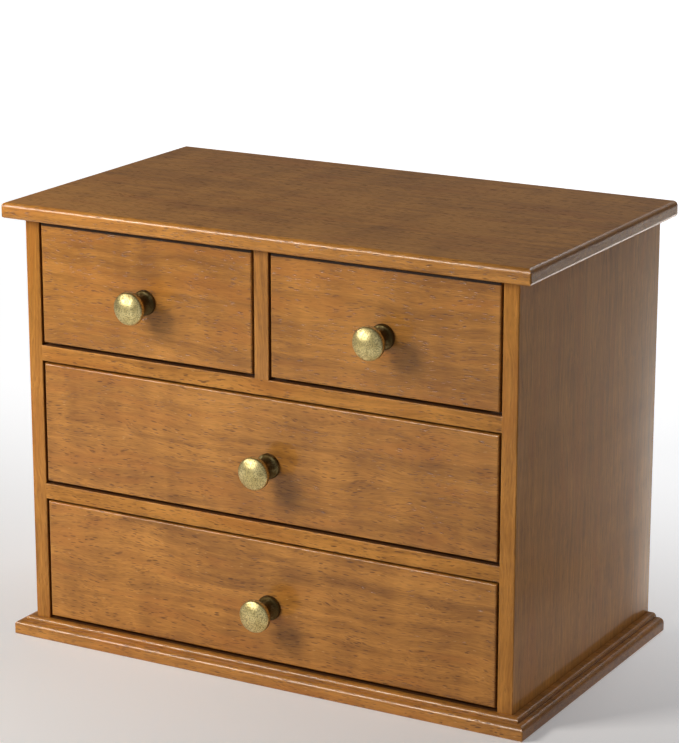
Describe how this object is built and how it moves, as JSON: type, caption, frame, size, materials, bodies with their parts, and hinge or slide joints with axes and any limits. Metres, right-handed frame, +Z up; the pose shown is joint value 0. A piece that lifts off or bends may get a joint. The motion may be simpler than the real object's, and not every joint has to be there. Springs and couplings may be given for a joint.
{
  "type": "desktop mini drawers",
  "caption": "Desktop chest of mini drawers in stained wood: small drawers side by side over wide ones, turned brass knobs, overhanging top and stepped base moulding.",
  "frame": {"origin": "middle of the base board's flat underside, on the surface that it stands on", "axes": "+X to the right of someone facing the drawers, +Y towards the back, +Z up; drawers open along -Y"},
  "size_m": [0.3626, 0.2217, 0.2837],
  "materials": {
    "stained_wood": "satin",
    "drawer_wood": "satin",
    "panel_wood": "matte",
    "dowel_wood": "matte",
    "antique_brass": "satin",
    "screw_steel": "satin"
  },
  "bodies": {
    "carcass": {"top_board": "stained_wood", "base_board": "stained_wood", "side_panel_left": "stained_wood", "side_panel_right": "stained_wood", "upper_shelf": "stained_wood", "lower_shelf": "stained_wood", "centre_partition": "stained_wood", "back_panel": "panel_wood", "top_dowels": "dowel_wood", "upper_shelf_dowels": "dowel_wood", "lower_shelf_dowels": "dowel_wood", "base_screws": "screw_steel", "back_panel_pins": "screw_steel"},
    "top_left_drawer": {"top_left_drawer_front": "stained_wood", "top_left_drawer_side_left": "drawer_wood", "top_left_drawer_side_right": "drawer_wood", "top_left_drawer_back": "drawer_wood", "top_left_drawer_bottom": "panel_wood", "top_left_drawer_knob": "antique_brass", "top_left_drawer_knob_screw": "screw_steel"},
    "top_right_drawer": {"top_right_drawer_front": "stained_wood", "top_right_drawer_side_left": "drawer_wood", "top_right_drawer_side_right": "drawer_wood", "top_right_drawer_back": "drawer_wood", "top_right_drawer_bottom": "panel_wood", "top_right_drawer_knob": "antique_brass", "top_right_drawer_knob_screw": "screw_steel"},
    "middle_drawer": {"middle_drawer_front": "stained_wood", "middle_drawer_side_left": "drawer_wood", "middle_drawer_side_right": "drawer_wood", "middle_drawer_back": "drawer_wood", "middle_drawer_bottom": "panel_wood", "middle_drawer_knob": "antique_brass", "middle_drawer_knob_screw": "screw_steel"},
    "bottom_drawer": {"bottom_drawer_front": "stained_wood", "bottom_drawer_side_left": "drawer_wood", "bottom_drawer_side_right": "drawer_wood", "bottom_drawer_back": "drawer_wood", "bottom_drawer_bottom": "panel_wood", "bottom_drawer_knob": "antique_brass", "bottom_drawer_knob_screw": "screw_steel"}
  },
  "joints": [
    {"name": "top_left_drawer_slide", "type": "slide", "parent": "carcass", "child": "top_left_drawer", "axis": [0, -1, 0], "range_m": [0, 0.15]},
    {"name": "top_right_drawer_slide", "type": "slide", "parent": "carcass", "child": "top_right_drawer", "axis": [0, -1, 0], "range_m": [0, 0.15]},
    {"name": "middle_drawer_slide", "type": "slide", "parent": "carcass", "child": "middle_drawer", "axis": [0, -1, 0], "range_m": [0, 0.15]},
    {"name": "bottom_drawer_slide", "type": "slide", "parent": "carcass", "child": "bottom_drawer", "axis": [0, -1, 0], "range_m": [0, 0.15]}
  ]
}
